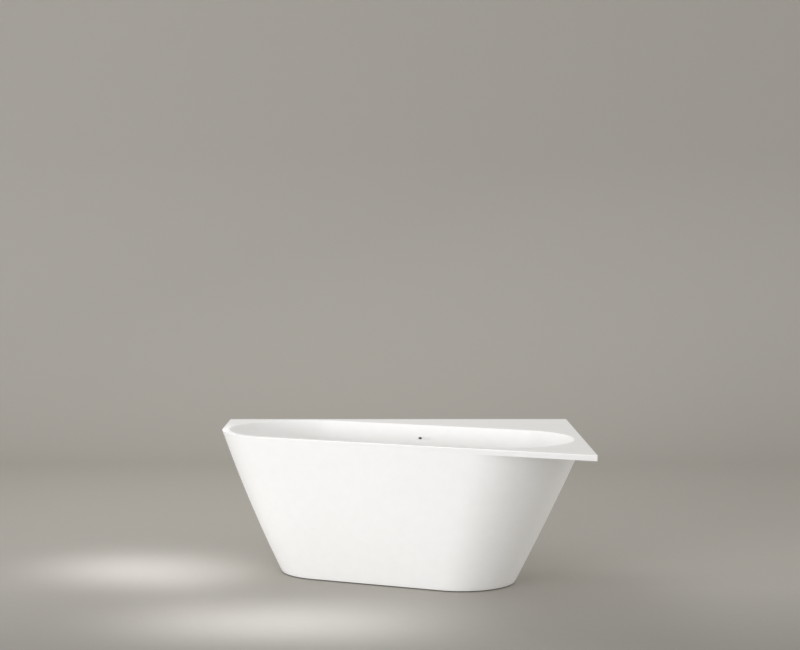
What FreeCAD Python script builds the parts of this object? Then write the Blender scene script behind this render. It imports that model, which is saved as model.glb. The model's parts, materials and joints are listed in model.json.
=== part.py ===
import FreeCAD, Part
import math
import os

# Corner bathtub of cast white mineral composite. A five-sided deck carries a long rounded bowl that
# lies at an angle across the room corner, and a tapering apron hangs from the deck around the bowl.
# Part frame: origin on the floor under the middle of the deck's outline, +X along the back wall
# towards the room corner, +Y towards the back wall, +Z up. All sizes are in millimetres.
# Bath frame: origin at the centre of the round left end, x along the bath, y across it to the back.

# Deck
deck_width = 1500.0
deck_depth = 1190.0
deck_height = 615.0
deck_thickness = 23.5
deck_edge_round = 2.0
deck_edge_band = 3.0
end_radius = 336.0
end_centre_to_back = 339.0
end_gap_to_side = 6.9

# Bowl: the insets are how far each wall comes in between the mouth and the floor
rim_width = 30.0
lip_round = 2.5
side_bow = 4.5
bowl_floor_height = 175.0
bowl_wall = 10.0
head_inset = 192.0
foot_inset = 212.0
front_inset = 132.0
back_inset = 60.0
head_fillet = 40.0
foot_fillet = 60.0
front_fillet = 60.0
back_fillet = 30.0
fillet_levels = 8

# Apron: the bows are the middle's swell as a share of each inset
apron_wall = 10.0
floor_gap = 4.0
apron_front_bow = 0.04
apron_foot_bow = 0.017
apron_head_inset = 228.0
apron_foot_inset = 302.0
apron_front_inset = 183.5
apron_back_inset = 30.5
service_before_drain = 205.0
service_length = 305.0
apron_levels = 6

# Drain in the bowl's floor, midway along the bath, and the push-open plug over it
drain_across = 151.0
drain_recess = 7.0
drain_recess_radius = 39.0
drain_boss = 5.0
drain_boss_radius = 48.0
flange_radius = 38.0
flange_thickness = 3.0
flange_gasket_thickness = 1.0
neck_radius = 25.0
neck_wall = 3.0
neck_engagement = 17.0
spoke_count = 3
spoke_width = 4.0
spoke_height = 6.0
spoke_drop = 9.0
spoke_boss_radius = 10.0
cartridge_radius = 7.0
cartridge_length = 38.0
cartridge_collar = 3.0
cartridge_base = 4.0
plug_radius = 33.5
plug_thickness = 5.0
plug_seal_radius = 29.0
plug_seal_width = 4.5
plug_seal_thickness = 2.0
plug_seal_groove = 1.5
stem_radius = 4.0
stem_length = 34.0

# Waste body, trap and pipes
waste_gasket_thickness = 3.0
waste_flange_radius = 44.0
waste_flange_thickness = 4.0
waste_wall = 4.0
port_reach = 54.0
pipe_radius = 20.0
pipe_wall = 3.0
overflow_pipe_radius = 13.0
overflow_pipe_wall = 2.0
overflow_pipe_bend = 45.0
socket_wall = 4.0
socket_depth = 14.0
joint_seal_thickness = 3.0
nut_wall = 5.0
nut_lip = 3.0
nut_skirt = 11.0
nut_lugs = 8
nut_lug_size = 3.0
tail_length = 12.0
trap_ground_gap = 8.0
trap_bend = 32.0
tee_radius = 22.0
tee_wall = 4.0
outlet_height = 105.0
outlet_reach = 30.0
outlet_to_wall = 20.0
spigot_radius = 19.0
cleanout_reach = 38.0
cleanout_cap_wall = 4.0
cleanout_cap_skirt = 14.0

# Overflow
overflow_drop = 58.0
overflow_length = 60.0
overflow_slot = 10.0
overflow_groove = 4.0
overflow_hole_length = 15.0
overflow_boss_length = 120.0
overflow_boss_height = 54.0
overflow_gasket_thickness = 2.0
elbow_length = 90.0
elbow_height = 54.0
elbow_depth = 32.0
elbow_wall = 4.0
elbow_ear = 12.0
elbow_ear_height = 24.0
elbow_spout = 25.0

# Base: board under the bowl, two channels across it and four levelling feet
board_thickness = 18.0
board_margin = 10.0
board_notch = 110.0
board_notch_gap = 3.0
rail_to_end_centre = 175.0
rail_shift = 15.0
rail_front = -150.0
rail_length = 420.0
rail_width = 40.0
rail_height = 30.0
rail_wall = 3.0
foot_front = -105.0
foot_spread = 355.0
foot_boss_radius = 11.0
foot_boss_length = 40.0
lock_nut_width = 19.0
lock_nut_height = 8.0
rod_radius = 6.0
rod_top_gap = 2.0
pad_radius = 25.0
pad_thickness = 10.0
pad_hub_radius = 12.0
pad_hub_height = 6.0
pad_floor = 4.0

# Wall brackets under the deck
bracket_width = 80.0
bracket_leg = 42.0
bracket_drop = 50.0
bracket_wall = 3.0
bracket_hole_spacing = 50.0
bracket_hole_radius = 4.0
bracket_hole_drop = 32.0
bracket_screw_inset = 23.0
back_left_bracket_inset = 100.0
back_right_bracket_inset = 250.0
side_rear_bracket_inset = 145.0
side_front_bracket_inset = 350.0
insert_radius = 5.0
insert_length = 12.0

# Screws
rail_screw_radius = 2.5
rail_screw_length = 14.0
rail_screw_outer = 100.0
rail_screw_inner = 40.0
overflow_screw_radius = 2.5
overflow_screw_grip = 12.0
bracket_screw_radius = 3.0
screw_head_height = 3.0
screw_head_overhang = 2.3

# Clearances: of threads and pushed fits, of moving shafts, of a part on its seat
fit_gap = 0.05
running_gap = 0.05
seat_gap = 0.3
overlap = 1.0

Vector = FreeCAD.Vector
up = Vector(0, 0, 1)

# Heights that the pieces share
deck_bottom = deck_height - deck_thickness
slope_top = deck_height - deck_edge_band
bowl_depth = deck_height - bowl_floor_height
bowl_bottom = bowl_floor_height - bowl_wall
recess_floor = bowl_floor_height - drain_recess
flange_bottom = recess_floor + flange_gasket_thickness
flange_top = flange_bottom + flange_thickness
drain_boss_bottom = bowl_bottom - drain_boss
waste_top = drain_boss_bottom - waste_gasket_thickness
neck_bottom = waste_top - neck_engagement
port_height = neck_bottom - waste_wall - overflow_pipe_radius - fit_gap
waste_bottom = port_height - overflow_pipe_radius - 2 * waste_wall
trap_inlet_height = waste_bottom - tail_length
trap_low_line = trap_ground_gap + pipe_radius
board_bottom = bowl_bottom - board_thickness
web_bottom = board_bottom - rail_wall
foot_boss_bottom = web_bottom - foot_boss_length
overflow_height = deck_height - overflow_drop
elbow_bottom = overflow_height - elbow_height / 2

# The deck's front edge runs from the front right corner to touch the round left corner
left_centre = Vector(-deck_width / 2 + end_radius, deck_depth / 2 - end_centre_to_back, 0)
front_right = Vector(deck_width / 2, -deck_depth / 2, 0)
to_corner = front_right - left_centre
bath_turn = math.atan2(to_corner.y, to_corner.x) + math.asin(end_radius / to_corner.Length)
bath_frame = FreeCAD.Placement(left_centre, FreeCAD.Rotation(up, math.degrees(bath_turn)))

# The right end's centre stands so far along the bath that the end clears the deck's right edge
right_centre_x = deck_width / 2 - end_gap_to_side - end_radius
end_spacing = (right_centre_x - left_centre.x) / math.cos(bath_turn)
drain_along = end_spacing / 2
service_start = drain_along - service_before_drain

mouth_radius = end_radius - rim_width
overflow_boss_across = mouth_radius + side_bow + bowl_wall
drain_centre = bath_frame.multVec(Vector(drain_along, drain_across, 0))


def in_part_frame(shape):
    return shape.transformed(bath_frame.toMatrix(), True)


def fused(shapes):
    whole = shapes[0].fuse(shapes[1:]) if len(shapes) > 1 else shapes[0]
    return whole.removeSplitter()


def tube(outer, inner, low, high, x=0.0, y=0.0):
    ring = Part.makeCylinder(outer, high - low, Vector(x, y, low), up)
    bore = Part.makeCylinder(inner, high - low, Vector(x, y, low), up)
    return ring.cut(bore)


def block(low_x, high_x, low_y, high_y, low_z, high_z):
    return Part.makeBox(high_x - low_x, high_y - low_y, high_z - low_z, Vector(low_x, low_y, low_z))


def hex_prism(width, height, low):
    corners = []
    for corner in range(7):
        turn = math.radians(60 * corner)
        reach = width / math.sqrt(3)
        corners.append(Vector(reach * math.cos(turn), reach * math.sin(turn), low))
    return Part.Face(Part.makePolygon(corners)).extrude(up * height)


def arc_about(centre, radius, start, end):
    points = []
    for turn in (start, (start + end) / 2, end):
        points.append(centre + Vector(radius * math.cos(turn), radius * math.sin(turn), 0))
    return Part.Arc(*points).toShape()


def side_edge(start, end, bow):
    """One long side of a stadium, straight or bowed out by a shallow arc."""
    if bow == 0:
        return Part.LineSegment(start, end).toShape()
    run = (end - start).normalize()
    out = run.cross(up)
    lean = 2 * math.atan2(2 * bow, (end - start).Length)
    radius = (end - start).Length / 2 / math.sin(lean)
    middle = (start + end) / 2 + out * radius * (1 - math.cos(lean))
    return Part.Arc(start, middle, end).toShape()


def stadium(extents, z, bow=0.0):
    """Long outline with round ends in the bath frame. The sides bow out and meet the ends smoothly."""
    left, right, front, back = extents
    radius = (back - front) / 2
    left_end = Vector(left + radius, (front + back) / 2, z)
    right_end = Vector(right - radius, (front + back) / 2, z)
    half = (right_end.x - left_end.x) / 2
    lean = math.asin(2 * half * bow / (half * half + bow * bow))
    quarter = math.pi / 2
    edges = [
        arc_about(left_end, radius, quarter + lean, 2 * quarter),
        arc_about(left_end, radius, 2 * quarter, 3 * quarter - lean),
        arc_about(right_end, radius, -quarter + lean, 0),
        arc_about(right_end, radius, 0, quarter - lean),
    ]
    starts = [edge.valueAt(edge.FirstParameter) for edge in edges]
    ends = [edge.valueAt(edge.LastParameter) for edge in edges]
    chord_bow = bow + radius * (1 - math.cos(lean))
    front_side = side_edge(ends[1], starts[2], chord_bow)
    back_side = side_edge(ends[3], starts[0], chord_bow)
    return Part.Wire([edges[0], edges[1], front_side, edges[2], edges[3], back_side])


def grown(extents, amount):
    left, right, front, back = extents
    return left - amount, right + amount, front - amount, back + amount


def wall_inset(inset, fillet, rise):
    """How far a bowl wall has come in at this rise above the floor, its floor fillet included."""
    lean = math.atan2(inset, bowl_depth)
    reach = fillet * math.tan((math.pi / 2 - lean) / 2)
    if rise >= reach * math.cos(lean):
        return inset * (1 - rise / bowl_depth)
    return inset + reach - math.sqrt(fillet ** 2 - (fillet - rise) ** 2)


def bowl_extents(rise):
    left = -mouth_radius + wall_inset(head_inset, head_fillet, rise)
    right = end_spacing + mouth_radius - wall_inset(foot_inset, foot_fillet, rise)
    front = -mouth_radius + wall_inset(front_inset, front_fillet, rise)
    back = mouth_radius - wall_inset(back_inset, back_fillet, rise)
    return left, right, front, back


def fillet_top():
    """Rise of the highest point where a floor fillet runs out into its wall."""
    tops = []
    for inset, fillet in (
        (head_inset, head_fillet),
        (foot_inset, foot_fillet),
        (front_inset, front_fillet),
        (back_inset, back_fillet),
    ):
        lean = math.atan2(inset, bowl_depth)
        tops.append(fillet * math.tan((math.pi / 2 - lean) / 2) * math.cos(lean))
    return max(tops)


def bowl_rises():
    rises = []
    for step in range(fillet_levels + 1):
        turn = math.pi / 2 * step / fillet_levels
        rises.append(fillet_top() * (1 - math.cos(turn)))
    return rises


def bowl_cavity():
    """The space inside the bowl, up to just above the deck."""
    sections = []
    for rise in bowl_rises() + [bowl_depth - lip_round]:
        sections.append(stadium(bowl_extents(rise), bowl_floor_height + rise, side_bow))
    for turn in (math.radians(45), math.radians(90)):
        widen = lip_round * (1 - math.cos(turn))
        climb = lip_round * math.sin(turn)
        rise = bowl_depth - lip_round + climb
        sections.append(stadium(grown(bowl_extents(rise), widen), bowl_floor_height + rise, side_bow))
    mouth = grown(bowl_extents(bowl_depth), lip_round)
    sections.append(stadium(mouth, deck_height + overlap, side_bow))
    return Part.makeLoft(sections, True, True)


def bowl_outside():
    """The bowl's outer form: the inner profile moved out and down by the wall."""
    sections = []
    for rise in bowl_rises() + [bowl_depth]:
        z = bowl_floor_height + rise - bowl_wall
        sections.append(stadium(grown(bowl_extents(rise), bowl_wall), z, side_bow))
    return Part.makeLoft(sections, True, True)


def swelled(share, bow):
    return share - bow * 4 * share * (1 - share)


def apron_extents(z):
    """The head and the front slope from the deck's edge band, the foot and the back from under the deck."""
    ahead = swelled(max(slope_top - z, 0) / (slope_top - floor_gap), apron_front_bow)
    under = swelled(max(deck_bottom - z, 0) / (deck_bottom - floor_gap), apron_foot_bow)
    left = -end_radius + apron_head_inset * ahead
    right = end_spacing + end_radius - apron_foot_inset * under
    front = -end_radius + apron_front_inset * ahead
    back = end_radius - apron_back_inset * under
    return left, right, front, back


def deck_outline(z):
    """The deck's outline at this height. Its round corner and its front edge run on into the apron."""
    left, right, front, back = apron_extents(z)
    radius = (back - front) / 2
    centre = bath_frame.multVec(Vector(left + radius, (front + back) / 2, z))
    round_corner = arc_about(centre, radius, math.pi, 3 * math.pi / 2 + bath_turn)
    round_start = round_corner.valueAt(round_corner.FirstParameter)
    round_end = round_corner.valueAt(round_corner.LastParameter)
    right = deck_width / 2 + overlap
    back = deck_depth / 2 + overlap
    front_run = right - round_end.x
    corner = round_end + Vector(front_run, front_run * math.tan(bath_turn), 0)
    back_left = Vector(round_start.x, back, z)
    back_right = Vector(right, back, z)
    edges = [
        Part.LineSegment(back_left, round_start).toShape(),
        round_corner,
        Part.LineSegment(round_end, corner).toShape(),
        Part.LineSegment(corner, back_right).toShape(),
        Part.LineSegment(back_right, back_left).toShape(),
    ]
    return Part.Wire(edges)


def deck_slab():
    """The deck, lofted a little past the two walls and trimmed back to flat wall faces."""
    outlines = [deck_outline(deck_bottom), deck_outline(slope_top), deck_outline(deck_height)]
    room = block(
        -deck_width, deck_width / 2, -deck_depth, deck_depth / 2, deck_bottom - overlap, deck_height + overlap
    )
    slab = Part.makeLoft(outlines, True, True).common(room)
    top_edges = [edge for edge in slab.Edges if edge.BoundBox.ZMin > deck_height - overlap]
    return slab.makeFillet(deck_edge_round, top_edges)


def slot_prism(length, middle_x, low_y, high_y):
    """Long hole with round ends through a wall, in the bath frame."""
    radius = overflow_slot / 2
    half = length / 2 - radius
    bar = block(
        middle_x - half, middle_x + half, low_y, high_y, overflow_height - radius, overflow_height + radius
    )
    ends = []
    for side in (-half, half):
        base = Vector(middle_x + side, low_y, overflow_height)
        ends.append(Part.makeCylinder(radius, high_y - low_y, base, Vector(0, 1, 0)))
    return fused([bar] + ends)


def overflow_screw_spots():
    reach = elbow_length / 2 + elbow_ear / 2
    return [drain_along - reach, drain_along + reach]


def overflow_wall_across():
    """Where the bowl's back wall stands at the height of the overflow."""
    return bowl_extents(bowl_depth - overflow_drop)[3] + side_bow


def make_basin():
    bowl = bowl_outside()
    overflow_boss = block(
        drain_along - overflow_boss_length / 2,
        drain_along + overflow_boss_length / 2,
        mouth_radius - back_inset,
        overflow_boss_across,
        overflow_height - overflow_boss_height / 2,
        deck_bottom + overlap,
    )
    drain_boss_body = Part.makeCylinder(
        drain_boss_radius, drain_boss + bowl_wall, Vector(drain_along, drain_across, drain_boss_bottom), up
    )
    casting = fused([in_part_frame(fused([bowl, overflow_boss, drain_boss_body])), deck_slab()])
    casting = casting.cut(in_part_frame(bowl_cavity()))
    drain = Vector(drain_along, drain_across, 0)
    recess = Part.makeCylinder(drain_recess_radius, drain_recess + overlap, drain + up * recess_floor, up)
    neck_hole = Part.makeCylinder(
        neck_radius + fit_gap, recess_floor - drain_boss_bottom + overlap, drain + up * drain_boss_bottom, up
    )
    wall = overflow_wall_across()
    groove = slot_prism(overflow_length, drain_along, wall - overflow_slot * 2, wall + overflow_groove)
    hole_middle = drain_along - (overflow_length - overflow_hole_length) / 2
    hole_end = overflow_boss_across + overlap
    hole = slot_prism(overflow_hole_length, hole_middle, wall - overflow_slot, hole_end)
    cuts = [recess, neck_hole, groove, hole]
    for along in overflow_screw_spots():
        start = Vector(along, overflow_boss_across - overflow_screw_grip, overflow_height)
        length = overflow_screw_grip + overlap
        cuts.append(Part.makeCylinder(overflow_screw_radius + fit_gap, length, start, Vector(0, 1, 0)))
    casting = casting.cut([in_part_frame(cut) for cut in cuts])
    insert_holes = []
    for spot in bracket_screw_spots():
        start = spot + up * deck_bottom
        insert_holes.append(Part.makeCylinder(insert_radius + fit_gap, insert_length, start, up))
    return casting.cut(insert_holes)


def make_apron():
    outer_sections = []
    inner_sections = []
    for level in range(apron_levels + 1):
        z = floor_gap + (deck_bottom - floor_gap) * level / apron_levels
        outer_sections.append(stadium(apron_extents(z), z))
        inner_sections.append(stadium(grown(apron_extents(z), -apron_wall), z))
    outer = Part.makeLoft(outer_sections, True, False)
    inner = Part.makeLoft(inner_sections, True, False)
    service = block(
        service_start,
        service_start + service_length,
        end_radius / 2,
        end_radius + apron_wall,
        floor_gap - overlap,
        deck_bottom + overlap,
    )
    return in_part_frame(outer.cut(inner).cut(service))


def make_flange_gasket():
    return tube(flange_radius, neck_radius + fit_gap, recess_floor, flange_bottom, drain_along, drain_across)


def spoke_middle():
    return flange_bottom - spoke_drop


def make_drain_flange():
    rim = Part.makeCylinder(flange_radius, flange_thickness, up * flange_bottom, up)
    neck = Part.makeCylinder(neck_radius, flange_bottom - neck_bottom + overlap, up * neck_bottom, up)
    opening = Part.makeCylinder(neck_radius - neck_wall, flange_top - neck_bottom, up * neck_bottom, up)
    ring = fused([rim, neck]).cut(opening)
    low = spoke_middle() - spoke_height / 2
    pieces = [ring, Part.makeCylinder(spoke_boss_radius, spoke_height, up * low, up)]
    for spoke in range(spoke_count):
        bar = block(
            0, neck_radius - neck_wall / 2, -spoke_width / 2, spoke_width / 2, low, low + spoke_height
        )
        bar.rotate(Vector(), up, 360 * spoke / spoke_count)
        pieces.append(bar)
    bore = Part.makeCylinder(cartridge_radius + fit_gap, spoke_height, up * low, up)
    flange = fused(pieces).cut(bore)
    flange.translate(Vector(drain_along, drain_across, 0))
    return flange


def cartridge_top():
    return spoke_middle() + spoke_height / 2


def make_plug_cartridge():
    low = cartridge_top() - cartridge_length
    body = Part.makeCylinder(cartridge_radius, cartridge_length, up * low, up)
    collar = Part.makeCylinder(spoke_boss_radius, cartridge_collar, up * cartridge_top(), up)
    bore_low = low + cartridge_base
    bore = Part.makeCylinder(
        stem_radius + running_gap, cartridge_length + cartridge_collar, up * bore_low, up
    )
    cartridge = fused([body, collar]).cut(bore)
    cartridge.translate(Vector(drain_along, drain_across, 0))
    return cartridge


def plug_bottom():
    return flange_top + seat_gap + plug_seal_thickness - plug_seal_groove


def make_plug_cap():
    low = plug_bottom()
    cap = Part.makeCylinder(plug_radius, plug_thickness, up * low, up)
    top_edges = [edge for edge in cap.Edges if edge.BoundBox.ZMin > low + plug_thickness / 2]
    cap = cap.makeFillet(deck_edge_round, top_edges)
    groove = tube(plug_seal_radius, plug_seal_radius - plug_seal_width, low, low + plug_seal_groove)
    socket = Part.makeCylinder(stem_radius + fit_gap, plug_thickness / 2, up * low, up)
    cap = cap.cut([groove, socket])
    cap.translate(Vector(drain_along, drain_across, 0))
    return cap


def make_plug_seal():
    low = flange_top + seat_gap
    inner = plug_seal_radius - plug_seal_width
    return tube(plug_seal_radius, inner, low, low + plug_seal_thickness, drain_along, drain_across)


def make_plug_stem():
    top = plug_bottom() + plug_thickness / 2
    return Part.makeCylinder(
        stem_radius, stem_length, Vector(drain_along, drain_across, top - stem_length), up
    )


def make_waste_gasket():
    return tube(
        waste_flange_radius, neck_radius + fit_gap, waste_top, drain_boss_bottom, drain_along, drain_across
    )


def joint_seal(radius):
    """Seal on the mouth of a socket that a pipe of this radius enters from +Z. The mouth is at z = 0."""
    return tube(radius + socket_wall, radius + fit_gap, 0, joint_seal_thickness)


def joint_nut(radius):
    """Ribbed hand nut that draws the seal onto a socket's mouth."""
    outer = radius + socket_wall + nut_wall
    low = -nut_skirt
    top = joint_seal_thickness + nut_lip
    pieces = [Part.makeCylinder(outer, top - low, up * low, up)]
    for lug in range(nut_lugs):
        rib = block(outer - overlap, outer + nut_lug_size, -nut_lug_size / 2, nut_lug_size / 2, low, top)
        rib.rotate(Vector(), up, 360 * lug / nut_lugs)
        pieces.append(rib)
    skirt = Part.makeCylinder(radius + socket_wall + fit_gap, joint_seal_thickness - low, up * low, up)
    hole = Part.makeCylinder(radius + fit_gap, top - low, up * low, up)
    return fused(pieces).cut([skirt, hole])


def inlet_joint():
    return FreeCAD.Placement(drain_centre + up * trap_inlet_height, FreeCAD.Rotation())


def tee_centre():
    return drain_centre + Vector(-2 * trap_bend, 0, outlet_height)


def outlet_joint():
    mouth = tee_centre() + Vector(0, outlet_reach + socket_depth, 0)
    return FreeCAD.Placement(mouth, FreeCAD.Rotation(up, Vector(0, 1, 0)))


def overflow_joint():
    mouth = bath_frame.multVec(Vector(drain_along, drain_across + port_reach, port_height))
    back = bath_frame.Rotation.multVec(Vector(0, 1, 0))
    return FreeCAD.Placement(mouth, FreeCAD.Rotation(up, back))


def at_joint(shape, joint):
    return shape.transformed(joint.toMatrix(), True)


def make_waste_body():
    shell_radius = neck_radius + fit_gap + waste_wall
    flange = Part.makeCylinder(
        waste_flange_radius, waste_flange_thickness, up * (waste_top - waste_flange_thickness), up
    )
    shell = Part.makeCylinder(shell_radius, waste_top - waste_bottom, up * waste_bottom, up)
    tail_bottom = trap_inlet_height - socket_depth
    tail = Part.makeCylinder(pipe_radius, waste_bottom - tail_bottom + overlap, up * tail_bottom, up)
    chamber_low = waste_bottom + waste_wall
    chamber = Part.makeCylinder(neck_radius + fit_gap, waste_top - chamber_low, up * chamber_low, up)
    tail_bore = Part.makeCylinder(pipe_radius - pipe_wall, waste_top - tail_bottom, up * tail_bottom, up)
    upright = [flange, shell, tail, chamber, tail_bore]
    for piece in upright:
        piece.translate(drain_centre)
    socket_radius = overflow_pipe_radius + socket_wall
    port_length = port_reach
    port = Part.makeCylinder(socket_radius, port_length, Vector(0, 0, -port_length), up)
    port_bore = Part.makeCylinder(
        overflow_pipe_radius + fit_gap, socket_depth, Vector(0, 0, -socket_depth), up
    )
    port_way = Part.makeCylinder(
        overflow_pipe_radius - overflow_pipe_wall, port_length, Vector(0, 0, -port_length), up
    )
    joint = overflow_joint()
    body = fused([flange, shell, tail, at_joint(port, joint)])
    return body.cut([chamber, tail_bore, at_joint(port_bore, joint), at_joint(port_way, joint)])


def swept(edges, start, direction, radius):
    """Round bar along a path of lines and tangent arcs."""
    profile = Part.Wire([Part.makeCircle(radius, start, direction)])
    return Part.Wire(edges).makePipeShell([profile], True, False)


def trap_path():
    """From the inlet down, round under the water seal and up into the tee."""
    inlet = drain_centre + up * (trap_inlet_height - socket_depth)
    arc_top = trap_low_line + trap_bend
    down = drain_centre + up * arc_top
    low = drain_centre + Vector(-trap_bend, 0, trap_low_line)
    rise = drain_centre + Vector(-2 * trap_bend, 0, arc_top)
    return [
        Part.LineSegment(inlet, down).toShape(),
        Part.Arc(down, low, rise).toShape(),
        Part.LineSegment(rise, tee_centre()).toShape(),
    ]


def socket_ring(radius, joint):
    length = socket_depth + socket_wall
    ring = Part.makeCylinder(radius + socket_wall, length, Vector(0, 0, -length), up)
    return at_joint(ring, joint)


def socket_bore(radius, joint):
    bore = Part.makeCylinder(radius + fit_gap, socket_depth, Vector(0, 0, -socket_depth), up)
    return at_joint(bore, joint)


def make_trap_bend():
    """Bent pipe under the drain that rises into a tee: the outlet is behind it, the clean-out in front."""
    inlet = drain_centre + up * (trap_inlet_height - socket_depth)
    down = Vector(0, 0, -1)
    outer = swept(trap_path(), inlet, down, pipe_radius)
    inner = swept(trap_path(), inlet, down, pipe_radius - pipe_wall)
    tee_front = tee_centre() - Vector(0, cleanout_reach, 0)
    length = cleanout_reach + outlet_reach
    tee = Part.makeCylinder(tee_radius, length, tee_front, Vector(0, 1, 0))
    tee_bore = Part.makeCylinder(tee_radius - tee_wall, length, tee_front, Vector(0, 1, 0))
    rings = [socket_ring(pipe_radius, inlet_joint()), socket_ring(spigot_radius, outlet_joint())]
    bores = [socket_bore(pipe_radius, inlet_joint()), socket_bore(spigot_radius, outlet_joint())]
    return fused([outer, tee] + rings).cut([inner, tee_bore] + bores)


def make_trap_cleanout_cap():
    front = Vector(0, -1, 0)
    radius = tee_radius + fit_gap
    base = tee_centre() + front * (cleanout_reach - cleanout_cap_skirt)
    cap = Part.makeCylinder(radius + cleanout_cap_wall, cleanout_cap_skirt + cleanout_cap_wall, base, front)
    return cap.cut(Part.makeCylinder(radius, cleanout_cap_skirt, base, front))


def make_outlet_pipe():
    """Plain pipe to the wall, turned down to a spigot where it enters the trap's nut and socket."""
    mouth = outlet_joint().Base
    back = Vector(0, 1, 0)
    start = mouth - back * socket_depth
    shoulder = mouth + back * (joint_seal_thickness + nut_lip + seat_gap)
    end_y = deck_depth / 2 - outlet_to_wall
    spigot = Part.makeCylinder(spigot_radius, shoulder.y - start.y + overlap, start, back)
    pipe = Part.makeCylinder(pipe_radius, end_y - shoulder.y, shoulder, back)
    bore = Part.makeCylinder(pipe_radius - pipe_wall, end_y - start.y, start, back)
    return fused([spigot, pipe]).cut(bore)


def elbow_front():
    return overflow_boss_across + overflow_gasket_thickness


def spout_across():
    return elbow_front() + elbow_depth / 2


def elbow_cavity(low_y, high_y):
    half = elbow_length / 2 - elbow_wall
    low = elbow_bottom + elbow_wall
    high = elbow_bottom + elbow_height - elbow_wall
    return block(drain_along - half, drain_along + half, low_y, high_y, low, high)


def make_overflow_gasket():
    half = elbow_length / 2
    low = overflow_boss_across
    high = elbow_front()
    plate = block(
        drain_along - half, drain_along + half, low, high, elbow_bottom, elbow_bottom + elbow_height
    )
    return plate.cut(elbow_cavity(low, high))


def make_overflow_elbow():
    front = elbow_front()
    half = elbow_length / 2
    body = block(
        drain_along - half,
        drain_along + half,
        front,
        front + elbow_depth,
        elbow_bottom,
        elbow_bottom + elbow_height,
    )
    reach = half + elbow_ear
    ears = block(
        drain_along - reach,
        drain_along + reach,
        front,
        front + elbow_wall,
        overflow_height - elbow_ear_height / 2,
        overflow_height + elbow_ear_height / 2,
    )
    spout_base = Vector(drain_along, spout_across(), elbow_bottom - elbow_spout)
    length = elbow_spout + elbow_wall
    spout = Part.makeCylinder(overflow_pipe_radius + overflow_pipe_wall, length, spout_base, up)
    spout_bore = Part.makeCylinder(overflow_pipe_radius + fit_gap, length, spout_base, up)
    cuts = [elbow_cavity(front, front + elbow_depth - elbow_wall), spout_bore]
    for along in overflow_screw_spots():
        start = Vector(along, front, overflow_height)
        cuts.append(Part.makeCylinder(overflow_screw_radius + fit_gap, elbow_wall, start, Vector(0, 1, 0)))
    return fused([body, ears, spout]).cut(cuts)


def screw(radius, length, head_start, direction):
    """Pan-head screw: the head's underside is at head_start and the shank runs along direction."""
    shank = Part.makeCylinder(radius, length, head_start, direction)
    head = Part.makeCylinder(radius + screw_head_overhang, screw_head_height, head_start, direction * -1)
    return fused([shank, head])


def make_overflow_screws():
    screws = []
    length = overflow_screw_grip + overflow_gasket_thickness + elbow_wall
    for along in overflow_screw_spots():
        seat = Vector(along, elbow_front() + elbow_wall, overflow_height)
        screws.append(screw(overflow_screw_radius, length, seat, Vector(0, -1, 0)))
    return Part.makeCompound(screws)


def make_overflow_pipe():
    top = Vector(drain_along, spout_across(), elbow_bottom)
    low = Vector(drain_along, spout_across(), port_height + overflow_pipe_bend)
    turned = Vector(drain_along, spout_across() - overflow_pipe_bend, port_height)
    share = overflow_pipe_bend * (1 - math.sqrt(0.5))
    bend = low + Vector(0, -share, -overflow_pipe_bend + share)
    end = Vector(drain_along, drain_across + port_reach - socket_depth, port_height)
    path = [
        Part.LineSegment(top, low).toShape(),
        Part.Arc(low, bend, turned).toShape(),
        Part.LineSegment(turned, end).toShape(),
    ]
    outer = swept(path, top, Vector(0, 0, -1), overflow_pipe_radius)
    inner = swept(path, top, Vector(0, 0, -1), overflow_pipe_radius - overflow_pipe_wall)
    return outer.cut(inner)


def make_base_board():
    margin = bowl_wall - board_margin
    extents = grown(bowl_extents(0), margin)
    outline = Part.Face(stadium(extents, board_bottom))
    board = outline.extrude(up * board_thickness)
    notch = block(
        drain_along - board_notch / 2,
        drain_along + board_notch / 2,
        drain_across - drain_boss_radius - board_notch_gap,
        mouth_radius,
        board_bottom - overlap,
        bowl_bottom + overlap,
    )
    holes = []
    for spot in rail_screw_spots():
        holes.append(
            Part.makeCylinder(
                rail_screw_radius + fit_gap, rail_screw_length - rail_wall, spot + up * board_bottom, up
            )
        )
    return board.cut([notch] + holes)


def rail_positions():
    return [rail_to_end_centre - rail_shift, end_spacing - rail_to_end_centre - rail_shift]


def board_middle_across():
    left, right, front, back = bowl_extents(0)
    return (front + back) / 2


def rail_screw_spots():
    spots = []
    for along in rail_positions():
        for across in (-rail_screw_outer, -rail_screw_inner, rail_screw_inner, rail_screw_outer):
            spots.append(Vector(along, board_middle_across() + across, 0))
    return spots


def make_rail(along):
    """Channel with its web against the board and its flanges down."""
    half = rail_width / 2
    back = rail_front + rail_length
    low = board_bottom - rail_height
    rail = block(along - half, along + half, rail_front, back, low, board_bottom)
    hollow = block(
        along - half + rail_wall, along + half - rail_wall, rail_front, back, low, web_bottom
    )
    holes = []
    for spot in rail_screw_spots():
        holes.append(
            Part.makeCylinder(rail_screw_radius + fit_gap, rail_wall, spot + up * web_bottom, up)
        )
    return rail.cut([hollow] + holes)


def make_rail_screws():
    return Part.makeCompound(
        [
            screw(rail_screw_radius, rail_screw_length, spot + up * web_bottom, up)
            for spot in rail_screw_spots()
        ]
    )


def foot_spots():
    left, right = rail_positions()
    back = foot_front + foot_spread
    return {
        "front_left": Vector(left, foot_front, 0),
        "front_right": Vector(right, foot_front, 0),
        "back_left": Vector(left, back, 0),
        "back_right": Vector(right, back, 0),
    }


def make_foot_bosses():
    bosses = []
    for spot in foot_spots().values():
        bosses.append(
            tube(
                foot_boss_radius, rod_radius + running_gap, foot_boss_bottom, web_bottom, spot.x, spot.y
            )
        )
    return Part.makeCompound(bosses)


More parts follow.
